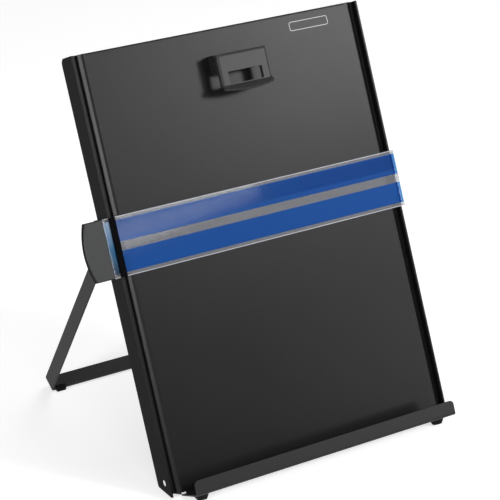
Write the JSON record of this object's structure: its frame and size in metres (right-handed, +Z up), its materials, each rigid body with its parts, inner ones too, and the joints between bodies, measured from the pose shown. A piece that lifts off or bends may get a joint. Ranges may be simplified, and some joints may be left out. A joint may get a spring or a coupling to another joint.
{
  "type": "copy holder with sliding line guide",
  "caption": "Leaning sheet-metal copy holder on a folding stand, with a ledge, a sprung top clip and a tinted clear line guide that slides up and down the board.",
  "frame": {"origin": "on the table, at the middle of the open object's footprint box: left to right from the slider's thumb tab to the lens's turned end, front to back from the ledge's lip to the stand's crossbar", "axes": "+X to the right along the ledge as the reader sees it, +Y away from the reader, +Z up. The board leans back 24.25 degrees from the vertical, towards +Y"},
  "size_m": [0.2656, 0.218, 0.2883],
  "materials": {
    "board_paint": "fine textured charcoal powder coat",
    "ledge_paint": "fine textured charcoal powder coat",
    "stand_paint": "charcoal powder coat",
    "rivet_steel": "bare steel, behind the board under the clip",
    "pivot_steel": "zinc plated, satin",
    "spring_steel": "bright spring steel",
    "foot_rubber": "matte black",
    "grip_rubber": "matte black",
    "slider_plastic": "satin dark grey moulding",
    "bar_plastic": "polished black",
    "lens_clear": "clear polished",
    "tint_blue": "clear blue",
    "clip_plastic": "satin dark grey moulding",
    "clip_base_plastic": "satin black moulding"
  },
  "bodies": {
    "holder": {"back_panel": "board_paint", "document_ledge": "ledge_paint", "ledge_rivets": "board_paint", "front_foot_left": "foot_rubber", "front_foot_right": "foot_rubber", "pivot_stud_left": "pivot_steel", "pivot_stud_right": "pivot_steel", "spacer_washer_left": "pivot_steel", "spacer_washer_right": "pivot_steel", "spring_washer_left": "spring_steel", "spring_washer_right": "spring_steel", "clip_base": "clip_base_plastic", "clip_rivets": "rivet_steel", "clip_pin": "pivot_steel", "clip_spring": "spring_steel"},
    "stand": {"stand_frame": "stand_paint", "stand_foot_left": "foot_rubber", "stand_foot_right": "foot_rubber"},
    "guide": {"guide_lens": "lens_clear", "guide_tint_upper": "tint_blue", "guide_tint_lower": "tint_blue", "guide_slider": "slider_plastic", "guide_clamp_bar": "bar_plastic", "guide_spring": "spring_steel"},
    "clip_jaw": {"clip_lever": "clip_plastic", "clip_grip_pad": "grip_rubber"}
  },
  "joints": [
    {"name": "stand_fold", "type": "hinge", "parent": "holder", "child": "stand", "pos_m": [0.01093, -0.00056, 0.16923], "axis": [-1, 0, 0], "range_deg": [0, 56.6]},
    {"name": "guide_slide", "type": "slide", "parent": "holder", "child": "guide", "axis": [0, 0.4107, 0.9118], "range_m": [-0.148, 0.064]},
    {"name": "clip_open", "type": "hinge", "parent": "holder", "child": "clip_jaw", "pos_m": [0.01598, 0.02433, 0.26758], "axis": [-1, 0, 0], "range_deg": [0, 28], "stiffness_Nm_per_rad": 0.06, "springref_deg": -34.38, "deforming": ["clip_spring"]}
  ]
}
